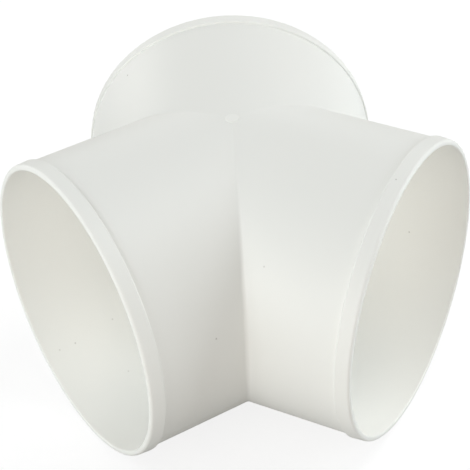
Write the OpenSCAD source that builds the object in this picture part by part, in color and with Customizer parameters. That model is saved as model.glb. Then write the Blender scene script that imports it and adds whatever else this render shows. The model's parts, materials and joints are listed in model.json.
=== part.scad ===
// Equal Y fitting for round ventilation duct, moulded in one piece from white plastic.
// Three thin round branches meet at 120 degrees in one level plane and open into each other.
// Each branch ends in a wide mouth with a low raised collar, which is highest at its rear edge and
// falls a little towards a rounded lip.
// Units are millimetres. The origin is the point where the three branch axes meet, +Z is up and
// the back branch points along +Y.

/* [Duct] */
// outside diameter of the round duct that each mouth takes
duct_d = 125; // [100:1:150]
// gap all round between that duct and the bore
duct_gap = 0.2; // [0.1:0.05:0.5]

/* [Branches] */
// thickness of the moulded tube wall
wall_t = 1.9; // [1.5:0.1:3]
// distance from the centre of the junction to the end of each branch
branch_reach = 82.5; // [72:0.5:140]

/* [Mouth collars] */
// length of the raised collar along its branch
collar_w = 6.8; // [4:0.1:10]
// height of the collar's rear edge above the tube
collar_h = 1; // [0.9:0.1:2.5]
// angle at which the collar falls from its rear edge towards the lip, in degrees
collar_fall = 3.5; // [0:0.5:6]
// rounding of the lip's outer edge
lip_outer_round = 1.3; // [0.5:0.1:1.6]
// rounding of the lip's inner edge, which leads the duct in
lip_inner_round = 0.7; // [0.3:0.1:1]
// rounding of the collar's rear edge
rear_round = 0.6; // [0.3:0.1:0.7]
// fillet at the foot of the collar's rear step
foot_fillet = 0.25; // [0.1:0.05:0.35]

/* [Gate mark] */
// diameter of the round pad that the moulding gate leaves on top of the junction
gate_d = 6; // [4:0.5:10]
// height of the pad above the top of the junction
gate_h = 0.2; // [0.1:0.1:0.6]

/* [Hidden] */
$fn = 144;
bore_r = duct_d / 2 + duct_gap;
tube_r = bore_r + wall_t;
collar_r = tube_r + collar_h;
collar_back = branch_reach - collar_w;
branch_count = 3;
// length by which a cut runs past the surface that it opens
overrun = 2;
// depth to which the gate pad is rooted in the wall
gate_root = 1;

// Radius of the collar's sloping outside at distance s from the junction.
function collar_side(s) = collar_r - (s - collar_back) * tan(collar_fall);

// Radius at which the centre of an edge's rounding lies, so that it blends into that slope.
function round_centre(s, round_r) = collar_side(s) - round_r / cos(collar_fall);

// Waste outside a rounded edge, seen in section. The rounding's centre is the section's origin.
// One face of the edge looks along +Y, and the other looks at the angle side_a from +X.
module edge_waste(round_r, side_a = 0) {
    reach = round_r + overrun;
    difference() {
        polygon([[0, 0], [reach * cos(side_a), reach * sin(side_a)], [reach, reach], [0, reach]]);
        circle(r = round_r);
    }
}

// The collar in section, with sharp edges: highest at the rear, and sloping down to the lip.
module collar_band() {
    polygon([
        [0, collar_back],
        [collar_r, collar_back],
        [collar_side(branch_reach), branch_reach],
        [0, branch_reach]
    ]);
}

// Fillet in the inner corner where the collar's rear step stands on the tube.
module step_foot() {
    translate([tube_r, collar_back - foot_fillet]) {
        difference() {
            square([foot_fillet, foot_fillet]);
            translate([foot_fillet, 0]) circle(r = foot_fillet);
        }
    }
}

// Outside of one branch in section: radius along X, distance from the junction along Y.
module branch_outline() {
    lip_s = branch_reach - lip_outer_round;
    rear_s = collar_back + rear_round;
    difference() {
        union() {
            square([tube_r, branch_reach]);
            collar_band();
            step_foot();
        }
        translate([round_centre(lip_s, lip_outer_round), lip_s]) edge_waste(lip_outer_round, collar_fall);
        translate([round_centre(rear_s, rear_round), rear_s]) {
            mirror([0, 1]) edge_waste(rear_round, -collar_fall);
        }
    }
}

// Inside of one branch in the same section: a plain bore that widens at the lip's rounding.
module bore_outline() {
    square([bore_r, branch_reach + overrun]);
    translate([bore_r + lip_inner_round, branch_reach - lip_inner_round]) {
        mirror([1, 0]) edge_waste(lip_inner_round);
    }
}

// Revolves a branch section and sets it out from the junction in all three directions.
module on_each_branch() {
    for (i = [0 : branch_count - 1]) {
        rotate([0, 0, i * 360 / branch_count]) rotate([-90, 0, 0]) rotate_extrude() children();
    }
}

// Round pad left by the moulding gate, where the branches meet on top of the junction.
module gate_pad() {
    translate([0, 0, tube_r - gate_root]) cylinder(d = gate_d, h = gate_root + gate_h);
}

// The whole moulding. Each round body starts square at the centre of the junction, and where two
// of them meet they form the mitre creases, which fade out towards the top and the bottom.
module duct_fitting() {
    color([0.88, 0.89, 0.86]) {
        difference() {
            union() {
                on_each_branch() branch_outline();
                gate_pad();
            }
            on_each_branch() bore_outline();
        }
    }
}

duct_fitting();
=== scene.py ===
"""The white plastic Y fitting for round duct, lying flat and seen from the front and above."""
import json
import math
import bpy
import numpy as np
from mathutils import Matrix, Vector


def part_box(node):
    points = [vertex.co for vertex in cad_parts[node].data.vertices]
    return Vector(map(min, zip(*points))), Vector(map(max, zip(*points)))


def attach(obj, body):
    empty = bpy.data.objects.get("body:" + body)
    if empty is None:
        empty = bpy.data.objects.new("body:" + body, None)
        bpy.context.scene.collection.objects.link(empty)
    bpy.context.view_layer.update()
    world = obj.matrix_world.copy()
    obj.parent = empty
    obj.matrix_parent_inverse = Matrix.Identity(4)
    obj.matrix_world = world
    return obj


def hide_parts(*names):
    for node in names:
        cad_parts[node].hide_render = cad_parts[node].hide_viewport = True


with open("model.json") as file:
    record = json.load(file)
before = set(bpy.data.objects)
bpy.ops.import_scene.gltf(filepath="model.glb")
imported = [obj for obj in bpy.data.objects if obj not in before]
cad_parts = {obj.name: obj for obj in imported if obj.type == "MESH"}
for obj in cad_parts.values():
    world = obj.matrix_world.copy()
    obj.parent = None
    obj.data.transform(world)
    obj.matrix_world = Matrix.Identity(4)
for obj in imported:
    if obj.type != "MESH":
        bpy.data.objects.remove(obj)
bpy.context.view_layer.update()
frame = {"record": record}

# The view. The fitting lies flat with two branches towards the camera, which looks down on it from
# the front and a little from the left through a long lens, rolled slightly clockwise.
camera_azimuth = math.radians(-0.881)
camera_elevation = math.radians(38.063)
camera_roll = math.radians(-2.870)
camera_place = Vector((-0.0101, -0.5767, 0.4551))
camera_lens = 129.07

back = Vector((
    math.sin(camera_azimuth) * math.cos(camera_elevation),
    -math.cos(camera_azimuth) * math.cos(camera_elevation),
    math.sin(camera_elevation),
))
level = Vector((math.cos(camera_azimuth), math.sin(camera_azimuth), 0))
raised = back.cross(level)
right = math.cos(camera_roll) * level + math.sin(camera_roll) * raised
up = math.cos(camera_roll) * raised - math.sin(camera_roll) * level
camera = bpy.data.objects.new("camera", bpy.data.cameras.new("camera"))
bpy.context.scene.collection.objects.link(camera)
camera.matrix_world = Matrix.Translation(camera_place) @ Matrix((right, up, back)).transposed().to_4x4()
camera.data.lens = camera_lens
camera.data.sensor_width = 36
camera.data.clip_start = 0.01
bpy.context.scene.camera = camera

# The fitting's shell. One injection moulding in white plastic: three thin round branches that open
# into each other, with mitre creases between them that the mould softens with a small rounding.
# Each mouth ends in a low collar that is highest at its rear edge, and in a rounded lip.
mouth = frame["record"]["mounts"][0]["dims"]
fitting_low, fitting_high = (Vector(corner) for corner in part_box("duct_fitting"))
reach = fitting_high.y
bore_radius = mouth["r_mm"] / 1000
wall = 0.0019
tube_radius = bore_radius + wall
collar_length = 0.0068
collar_height = 0.001
collar_fall = math.radians(3.5)
lip_outer_round = 0.0013
lip_inner_round = reach - mouth["length_mm"] / 1000
rear_round = 0.0006
foot_fillet = 0.00025
outer_crease_round = 0.0022
inner_crease_round = 0.0014
gate_radius = 0.003
gate_height = 0.0002
gate_root = 0.001
gate_edge_round = 0.00012
# Share of the paler colour: on the collars and lips it is a painted highlight, on the gate's pad a whitened mark.
collar_painted_highlight = 0.5
gate_paleness = 1
branch_turns = np.radians([90, 210, 330])
mitre = math.radians(60)

collar_back = reach - collar_length
collar_radius = tube_radius + collar_height


def arc(centre, radius, start, stop, steps, hollow=False):
    """Points and outward normals on a circle about centre, from one angle to the other, in section.

    The section's first axis runs along the branch and its second away from the axis. On a hollow
    arc, such as a fillet, the normals point to the centre."""
    angle = np.radians(np.linspace(start, stop, steps))
    facing = np.stack([np.cos(angle), np.sin(angle)], 1)
    return np.array(centre) + radius * facing, -facing if hollow else facing


def collar_centre(along, radius):
    """Where the centre of an edge's rounding lies, so that the rounding blends into the collar's slope."""
    slope_radius = collar_radius - (along - collar_back) * math.tan(collar_fall)
    return along, slope_radius - radius / math.cos(collar_fall)


def mouth_section():
    """The mouth in section, from the tube outside over the collar and the lip to the bore.

    Gives the points, their normals, and how much paler colour each gets, a painted highlight on the collar and lip."""
    slope = 90 - math.degrees(collar_fall)
    foot = (collar_back - foot_fillet, tube_radius + foot_fillet)
    rear = collar_centre(collar_back + rear_round, rear_round)
    outer = collar_centre(reach - lip_outer_round, lip_outer_round)
    inner = (reach - lip_inner_round, bore_radius + lip_inner_round)
    arcs = [
        arc(foot, foot_fillet, -90, 0, 5, hollow=True),
        arc(rear, rear_round, 180, slope, 8),
        arc(outer, lip_outer_round, slope, 0, 10),
        arc(inner, lip_inner_round, 0, -90, 8),
    ]
    points, facing = (np.concatenate(parts) for parts in zip(*arcs))
    # The collar and lip get a share of the paler colour, a painted highlight.
    highlight_and_whitening = np.repeat([0, collar_painted_highlight, collar_painted_highlight, collar_painted_highlight], [len(part[0]) for part in arcs])
    highlight_and_whitening[-1] = 0
    return points, facing, highlight_and_whitening


def crease(radius, rounding, swing, around):
    """The rounding where two branches of one radius meet, as points and normals.

    A ball rolls between the two round bodies, with its centre on the mitre plane at radius plus
    rounding from both axes. At each angle around the branch the surface follows the ball, swinging
    from the mitre plane (0) to the branch's own surface (1)."""
    cosine, sine = np.cos(around), np.sin(around)
    own = np.stack([0 * around, cosine, sine], -1)
    across = np.array([math.sin(mitre), -math.cos(mitre), 0])
    other = own + 2 * math.cos(mitre) * cosine[..., None] * across
    middle = own + other
    middle = middle / np.linalg.norm(middle, axis=-1, keepdims=True)
    half = np.arccos(np.clip((middle * own).sum(-1), -1, 1))[..., None]
    share = np.maximum(np.sin(half), 1e-9)
    near, far = np.sin((1 - swing) * half) / share, np.sin(swing * half) / share
    facing = np.where(half > 1e-6, near * middle + far * own, own)
    centre = (radius + rounding) * np.stack([cosine / math.tan(mitre), cosine, sine], -1)
    return centre - rounding * facing, facing


def half_branch(columns=73, swings=9, tube_rows=14):
    """Half of a branch, inside and out, as a grid of points, outward normals and the share of painted highlight on
    the collar and lip.

    Columns go round the branch from its underside to its top. Rows run from the mitre out along the
    tube, over the collar and lip, and back along the bore to the mitre. Axes: along the branch,
    level to the side, and up."""
    around = np.linspace(-math.pi / 2, math.pi / 2, columns)[None, :]
    swing = np.linspace(0, 1, swings)[:, None, None]
    outer_crease = crease(tube_radius, outer_crease_round, swing, around + 0 * swing[..., 0])
    inner_crease = crease(bore_radius, inner_crease_round, swing, around + 0 * swing[..., 0])

    section, section_facing, section_painted_highlight = mouth_section()
    radial = np.stack([0 * around, np.cos(around), np.sin(around)], -1)
    axial = np.array([1, 0, 0])
    rings = section[:, :1, None] * axial + section[:, 1:, None] * radial
    ring_facing = section_facing[:, :1, None] * axial + section_facing[:, 1:, None] * radial

    share = np.linspace(0, 1, tube_rows)[1:-1, None, None]
    tube = outer_crease[0][-1:] * (1 - share) + rings[:1] * share
    bore = rings[-1:] * (1 - share) + inner_crease[0][-1:] * share
    plain = radial + 0 * share
    points = [outer_crease[0], tube, rings, bore, inner_crease[0][::-1]]
    facing = [outer_crease[1], plain, ring_facing, -plain, -inner_crease[1][::-1]]
    highlight_and_whitening = np.concatenate([np.zeros(swings + len(tube)), section_painted_highlight, np.zeros(len(bore) + swings)])
    return np.concatenate(points), np.concatenate(facing), highlight_and_whitening[:, None] + 0 * around


def grid_triangles(rows, columns, first, flip):
    """Two triangles for each cell of a grid whose point numbers start at first."""
    corner = first + np.arange(rows - 1)[:, None] * columns + np.arange(columns - 1)[None, :]
    low, side, high, above = corner, corner + 1, corner + columns + 1, corner + columns
    triangles = np.stack([np.stack([low, side, high], -1), np.stack([low, high, above], -1)]).reshape(-1, 3)
    return triangles[:, ::-1] if flip else triangles


def surface_mesh(name, points, facing, highlight_and_whitening, triangles):
    """A smooth mesh of triangles, with each point's share of paler colour kept as an attribute: a painted highlight
    on collars and lips, a whitened mark on the gate's pad.

    Points that coincide become one, and triangles that shrink to a line go."""
    _, kept, joined = np.unique(np.round(points, 7), axis=0, return_index=True, return_inverse=True)
    triangles = joined.reshape(-1)[triangles]
    a, b, c = triangles.T
    triangles = triangles[(a != b) & (b != c) & (c != a)]
    mesh = bpy.data.meshes.new(name)
    mesh.from_pydata(points[kept].tolist(), [], triangles.tolist())
    mesh.attributes.new("highlight_and_whitening", "FLOAT", "POINT").data.foreach_set("value", highlight_and_whitening[kept])
    mesh.shade_smooth()
    mesh.normals_split_custom_set_from_vertices(facing[kept].tolist())
    mesh.update()
    return mesh


def gate_pad(turns=49):
    """The gate's pad: a low closed disc, rooted in the wall on top of the junction.

    A profile of height over radius, with a rounded edge, is turned about the upright axis."""
    top, root = tube_radius + gate_height, tube_radius - gate_root
    edge, edge_facing = arc((gate_radius - gate_edge_round, top - gate_edge_round), gate_edge_round, 90, 0, 5)
    profile = np.concatenate([[(0, top)], edge, [(gate_radius, root), (0, root)]])
    profile_facing = np.concatenate([[(0, 1)], edge_facing, [(1, 0), (0, -1)]])
    turn = np.linspace(0, 2 * math.pi, turns)
    spoke = np.stack([np.cos(turn), np.sin(turn), 0 * turn], -1)
    upright = np.array([0, 0, 1])
    points, facing = (part[:, :1, None] * spoke + part[:, 1:, None] * upright for part in (profile, profile_facing))
    return points, facing


def whole_shell():
    """The half branch set out six times, twice for each branch axis, and the gate's pad."""
    half, half_facing, half_painted_highlight = half_branch()
    rows, columns = half.shape[:2]
    points, facing, triangles = [], [], []
    for turn in branch_turns:
        along = np.array([math.cos(turn), math.sin(turn), 0])
        aside = np.array([-math.sin(turn), math.cos(turn), 0])
        for side in (1, -1):
            axes = np.stack([along, side * aside, [0, 0, 1]])
            triangles.append(grid_triangles(rows, columns, len(points) * rows * columns, side < 0))
            points.append((half @ axes).reshape(-1, 3))
            facing.append((half_facing @ axes).reshape(-1, 3))
    highlight_and_whitening = np.tile(half_painted_highlight.reshape(-1), len(points))
    pad, pad_facing = gate_pad()
    triangles.append(grid_triangles(*pad.shape[:2], len(highlight_and_whitening), True))
    points.append(pad.reshape(-1, 3))
    facing.append(pad_facing.reshape(-1, 3))
    highlight_and_whitening = np.concatenate([highlight_and_whitening, np.full(len(points[-1]), float(gate_paleness))])
    points, facing, triangles = (np.concatenate(parts) for parts in (points, facing, triangles))
    return surface_mesh("duct_shell", points, facing, highlight_and_whitening, triangles)


duct_shell = bpy.data.objects.new("duct_shell", whole_shell())
bpy.context.scene.collection.objects.link(duct_shell)
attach(duct_shell, "root")
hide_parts("duct_fitting")

# The plastic. A rigid off-white plastic from a satin mould. Its flow leaves faint changes of tint and
# gloss, and the walls sink by hundredths of a millimetre. The collars and lips are glossier, and a painted
# highlight makes them a little paler. The gate's pad is glossier and a little paler too, as a whitened gate
# mark. A few dark specks sit in the skin, as on the fitting in the photo.
plastic_colour = (0.92, 0.915, 0.875, 1)
flow_shade = 0.985
# How much paler the plastic is painted: a painted highlight on collars and lips, a whitened mark on the gate's pad.
highlight_and_whitening_shade = 1.03
speck_colour = (0.16, 0.13, 0.09, 1)
flow_scale = 14
sink_scale = 45
sink_depth = 0.00002
grain_scale = 1600
grain_depth = 0.0000015
satin_roughness = (0.40, 0.46)
pale_roughness = 0.36
sheen = 0.2
speck_radius = 0.0005
speck_warp = 0.0003
speck_warp_scale = 3200
faint, plain, strong = 0.22, 0.32, 0.54
branch_turn = dict(zip(("back", "left", "right"), branch_turns))
face_radius = {"outside": tube_radius, "collar": collar_radius, "inside": bore_radius}
# Each speck: its branch and face, its distance out in mm, its angle up from level in degrees, and
# how dark it is.
specks = [
    ("back", "outside", 66, 46, strong),
    ("left", "outside", 50, 13, plain),
    ("left", "inside", 67, -125, plain),
    ("left", "inside", 75, -125, faint),
    ("left", "inside", 46, -128, faint),
    ("left", "inside", 52, -104, faint),
    ("right", "outside", 40, 144, faint),
    ("right", "inside", 56, -18, plain),
    ("right", "collar", 78, 100, plain),
]


def add_node(tree, kind, inputs, **settings):
    """A shader node. An input given as a socket is linked, and any other value is set on the input."""
    node = tree.nodes.new(kind)
    for name, value in settings.items():
        setattr(node, name, value)
    for name, value in inputs.items():
        if isinstance(value, bpy.types.NodeSocket):
            tree.links.new(value, node.inputs[name])
        else:
            node.inputs[name].default_value = value
    return node


def new_group(name, outputs):
    """A node group that takes a place on the piece, with its input and output nodes."""
    group = bpy.data.node_groups.new(name, "ShaderNodeTree")
    group.interface.new_socket("Place", in_out="INPUT", socket_type="NodeSocketVector")
    for socket, kind in outputs.items():
        group.interface.new_socket(socket, in_out="OUTPUT", socket_type=kind)
    return group, group.nodes.new("NodeGroupInput").outputs["Place"], group.nodes.new("NodeGroupOutput")


def moulded_skin():
    """The skin's unevenness: a slow flow pattern from 0 to 1, and the normal with sinks and grain."""
    group, place, result = new_group("moulded skin", {"Flow": "NodeSocketFloat", "Normal": "NodeSocketVector"})
    flow = add_node(group, "ShaderNodeTexNoise", {"Vector": place, "Scale": flow_scale, "Detail": 2})
    sink = add_node(group, "ShaderNodeTexNoise", {"Vector": place, "Scale": sink_scale, "Detail": 0})
    grain = add_node(group, "ShaderNodeTexNoise", {"Vector": place, "Scale": grain_scale, "Detail": 1})
    sunk = add_node(group, "ShaderNodeBump", {"Height": sink.outputs[0], "Distance": sink_depth})
    grained = add_node(
        group,
        "ShaderNodeBump",
        {"Height": grain.outputs[0], "Distance": grain_depth, "Normal": sunk.outputs["Normal"]},
    )
    group.links.new(flow.outputs[0], result.inputs["Flow"])
    group.links.new(grained.outputs["Normal"], result.inputs["Normal"])
    return group


def speck_marks():
    """How dark the specks make a place: each fades out over its radius, and their edges are ragged."""
    group, place, result = new_group("speck marks", {"Dark": "NodeSocketFloat"})
    ragged = add_node(group, "ShaderNodeTexNoise", {"Vector": place, "Scale": speck_warp_scale})
    shift = add_node(
        group,
        "ShaderNodeVectorMath",
        {0: ragged.outputs["Color"], 1: (speck_warp,) * 3, 2: place},
        operation="MULTIPLY_ADD",
    )
    dark = None
    for branch, face, out, rise, darkness in specks:
        turn, rise = branch_turn[branch], math.radians(rise)
        out = out / 1000
        level = face_radius[face] * math.cos(rise)
        centre = (
            out * math.cos(turn) - level * math.sin(turn) + speck_warp / 2,
            out * math.sin(turn) + level * math.cos(turn) + speck_warp / 2,
            face_radius[face] * math.sin(rise) + speck_warp / 2,
        )
        away = add_node(group, "ShaderNodeVectorMath", {0: shift.outputs[0], 1: centre}, operation="DISTANCE")
        mark = add_node(
            group,
            "ShaderNodeMapRange",
            {
                "Value": away.outputs["Value"],
                "From Min": speck_radius / 2,
                "From Max": speck_radius,
                "To Min": darkness,
                "To Max": 0,
            },
        )
        mark = mark.outputs["Result"]
        if dark:
            mark = add_node(group, "ShaderNodeMath", {0: dark, 1: mark}, operation="MAXIMUM").outputs[0]
        dark = mark
    group.links.new(dark, result.inputs["Dark"])
    return group


def shaded(factor):
    """The plastic's colour, made darker or paler."""
    return tuple(factor * level for level in plastic_colour[:3]) + (1,)


def white_plastic():
    """The fitting's one material."""
    material = bpy.data.materials.new("white_plastic")
    material.use_nodes = True
    tree = material.node_tree
    place = tree.nodes.new("ShaderNodeTexCoord").outputs["Object"]
    skin = add_node(tree, "ShaderNodeGroup", {}, node_tree=moulded_skin())
    marks = add_node(tree, "ShaderNodeGroup", {}, node_tree=speck_marks())
    for group in (skin, marks):
        tree.links.new(place, group.inputs["Place"])
    # The paler, glossier share: its paler colour is a painted highlight on collars and lips and a whitened mark on
    # the gate's pad.
    highlight_and_whitening_share = add_node(tree, "ShaderNodeAttribute", {}, attribute_name="highlight_and_whitening").outputs["Fac"]
    plastic = add_node(
        tree,
        "ShaderNodeMix",
        {0: skin.outputs["Flow"], 6: plastic_colour, 7: shaded(flow_shade)},
        data_type="RGBA",
    )
    # Painted highlight on collars and lips, and the whitened gate's pad.
    highlighted_and_whitened = add_node(
        tree,
        "ShaderNodeMix",
        {0: highlight_and_whitening_share, 6: plastic.outputs[2], 7: shaded(highlight_and_whitening_shade)},
        data_type="RGBA",
    )
    marked = add_node(
        tree,
        "ShaderNodeMix",
        {0: marks.outputs["Dark"], 6: highlighted_and_whitened.outputs[2], 7: speck_colour},
        data_type="RGBA",
    )
    satin = add_node(
        tree,
        "ShaderNodeMapRange",
        {"Value": skin.outputs["Flow"], "To Min": satin_roughness[0], "To Max": satin_roughness[1]},
    )
    roughness = add_node(tree, "ShaderNodeMix", {0: highlight_and_whitening_share, 2: satin.outputs["Result"], 3: pale_roughness})
    surface = tree.nodes["Principled BSDF"]
    surface.inputs["Specular IOR Level"].default_value = sheen
    tree.links.new(marked.outputs[2], surface.inputs["Base Color"])
    tree.links.new(roughness.outputs[0], surface.inputs["Roughness"])
    tree.links.new(skin.outputs["Normal"], surface.inputs["Normal"])
    return material


duct_shell.data.materials.append(white_plastic())

# The table. A plain white surface, on which the fitting rests on its three collars. It looks nearly
# white with a faint shadow, and throws only part of the light back up.
floor_span = 3
floor_level = fitting_low.z
floor_seen = 0.25
floor_glow = 0.81
floor_bounce = 0.5


def floor_paint():
    """White to the camera, mostly by its own glow, and a duller white to the light that it throws back."""
    material = bpy.data.materials.new("floor_paint")
    material.use_nodes = True
    material.cycles.emission_sampling = "NONE"
    tree = material.node_tree
    tree.nodes.remove(tree.nodes["Principled BSDF"])
    seen = add_node(tree, "ShaderNodeBsdfDiffuse", {"Color": (floor_seen,) * 3 + (1,)})
    glow = add_node(tree, "ShaderNodeEmission", {"Strength": floor_glow})
    both = add_node(tree, "ShaderNodeAddShader", {0: seen.outputs[0], 1: glow.outputs[0]})
    bounce = add_node(tree, "ShaderNodeBsdfDiffuse", {"Color": (floor_bounce,) * 3 + (1,)})
    ray = tree.nodes.new("ShaderNodeLightPath")
    mix = add_node(
        tree,
        "ShaderNodeMixShader",
        {0: ray.outputs["Is Camera Ray"], 1: bounce.outputs[0], 2: both.outputs[0]},
    )
    tree.links.new(mix.outputs[0], tree.nodes["Material Output"].inputs["Surface"])
    return material


floor_mesh = bpy.data.meshes.new("floor")
floor_corners = [(x * floor_span, y * floor_span, floor_level) for x, y in ((-1, -1), (1, -1), (1, 1), (-1, 1))]
floor_mesh.from_pydata(floor_corners, [], [(0, 1, 2, 3)])
floor_mesh.materials.append(floor_paint())
floor = bpy.data.objects.new("floor", floor_mesh)
bpy.context.scene.collection.objects.link(floor)

# The light. Eight round soft lamps stand outside the view in a dark room: five low down all round, and
# three higher up, on the left, on the right and behind.
lamp_distance = 1.3
lamp_size = 0.75
cool = (0.9, 0.96, 1.0)
neutral = (0.97, 1.0, 1.0)
warm = (1.0, 0.94, 0.87)

room = bpy.data.worlds.new("dark_room")
room.use_nodes = True
room.node_tree.nodes["Background"].inputs["Strength"].default_value = 0
bpy.context.scene.world = room


def soft_lamp(name, azimuth, elevation, watts, colour):
    """A round soft lamp aimed at the fitting. Azimuth 0 is in front, and it grows towards the right."""
    turn, rise = math.radians(azimuth), math.radians(elevation)
    facing = Vector((math.sin(turn) * math.cos(rise), -math.cos(turn) * math.cos(rise), math.sin(rise)))
    light = bpy.data.lights.new(name, "AREA")
    light.shape = "DISK"
    light.size = lamp_size
    light.energy = watts
    light.color = colour
    lamp = bpy.data.objects.new(name, light)
    lamp.location = lamp_distance * facing
    lamp.rotation_euler = facing.to_track_quat("Z", "Y").to_euler()
    bpy.context.scene.collection.objects.link(lamp)


soft_lamp("high_right", 90, 65, 4, cool)
soft_lamp("left", -90, 38, 6, cool)
soft_lamp("behind_right", 135, 38, 5, warm)
soft_lamp("low_behind", 180, 14, 2, neutral)
soft_lamp("low_behind_left", -135, 14, 4, warm)
soft_lamp("low_front_left", -50, 14, 6, neutral)
soft_lamp("low_front", 0, 14, 5, warm)
soft_lamp("low_right", 90, 14, 9, cool)

bpy.context.scene.view_settings.view_transform = "Standard"
